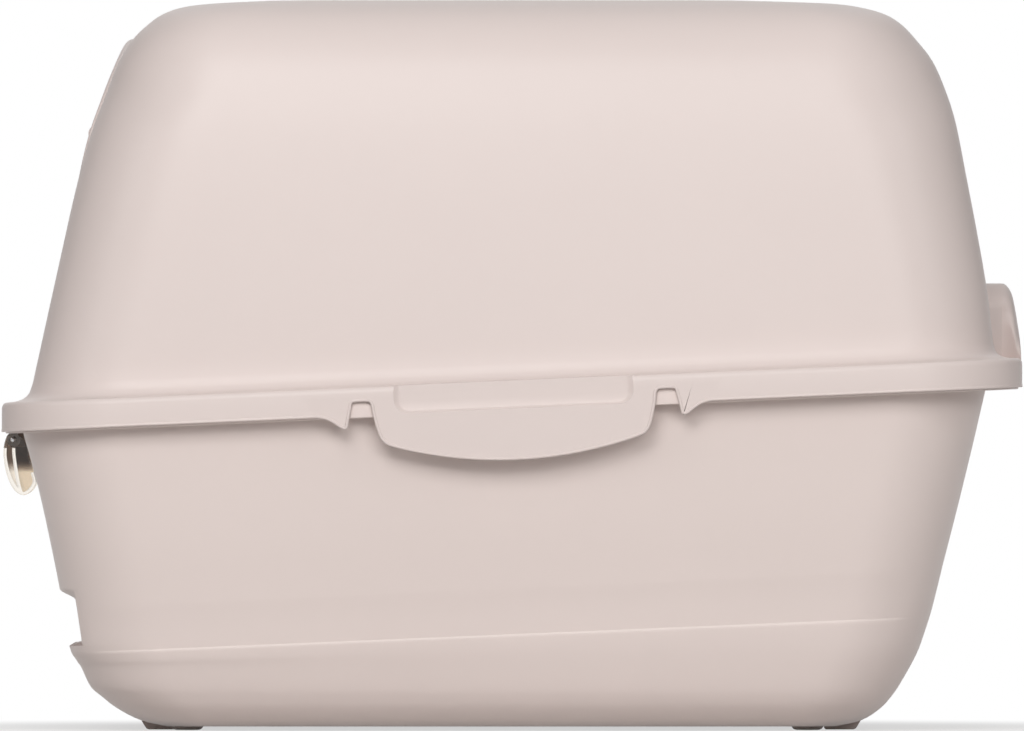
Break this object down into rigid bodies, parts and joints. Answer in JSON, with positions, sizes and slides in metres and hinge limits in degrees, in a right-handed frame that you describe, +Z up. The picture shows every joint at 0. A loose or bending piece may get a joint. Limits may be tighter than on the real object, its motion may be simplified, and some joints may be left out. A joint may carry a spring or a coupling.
{
  "type": "hooded litter box",
  "caption": "Hooded litter box with a deep tray, a sloped clip-on hood, an arched front entry with a swing flap and a flush hinged hatch over a top entry.",
  "frame": {"origin": "centre of the bounding box at floor level, under the feet", "axes": "+X towards the rear along the long side, +Y towards the left side seen from the front of travel, +Z up; the entry faces -X"},
  "size_m": [0.56, 0.4, 0.4],
  "materials": {
    "tray_plastic": "satin moulded beige",
    "hood_plastic": "satin moulded beige",
    "smoked_plastic": "glossy brown tint, see-through",
    "steel": "drawn wire",
    "charcoal_felt": "needled felt",
    "soft_rubber": "soft matte"
  },
  "bodies": {
    "base": {"tray": "tray_plastic", "pull_handle_pin": "steel", "foot_pad_front_left": "soft_rubber", "foot_pad_front_right": "soft_rubber", "foot_pad_rear_left": "soft_rubber", "foot_pad_rear_right": "soft_rubber"},
    "upper": {"hood": "hood_plastic", "entry_frame": "hood_plastic", "hatch_hinge_pin": "steel"},
    "flap": {"entry_flap": "smoked_plastic"},
    "hatch": {"roof_hatch": "hood_plastic", "filter_holder": "hood_plastic", "charcoal_filter": "charcoal_felt"},
    "lock": {"hatch_lock": "tray_plastic"},
    "handle": {"pull_handle": "smoked_plastic"}
  },
  "joints": [
    {"name": "hood_lift", "type": "slide", "parent": "base", "child": "upper", "axis": [0, 0, 1], "range_m": [0, 0.25]},
    {"name": "flap_swing", "type": "hinge", "parent": "upper", "child": "flap", "pos_m": [-0.2276, 0, 0.327], "axis": [0, 1, 0], "range_deg": [-60, 60]},
    {"name": "hatch_open", "type": "hinge", "parent": "upper", "child": "hatch", "pos_m": [0.112, 0, 0.3954], "axis": [0, 1, 0], "range_deg": [0, 105]},
    {"name": "lock_slide", "type": "slide", "parent": "hatch", "child": "lock", "axis": [-1, 0, 0], "range_m": [0, 0.006]},
    {"name": "handle_swing", "type": "hinge", "parent": "base", "child": "handle", "pos_m": [-0.2745, 0, 0.159], "axis": [0, 1, 0], "range_deg": [0, 60]}
  ]
}
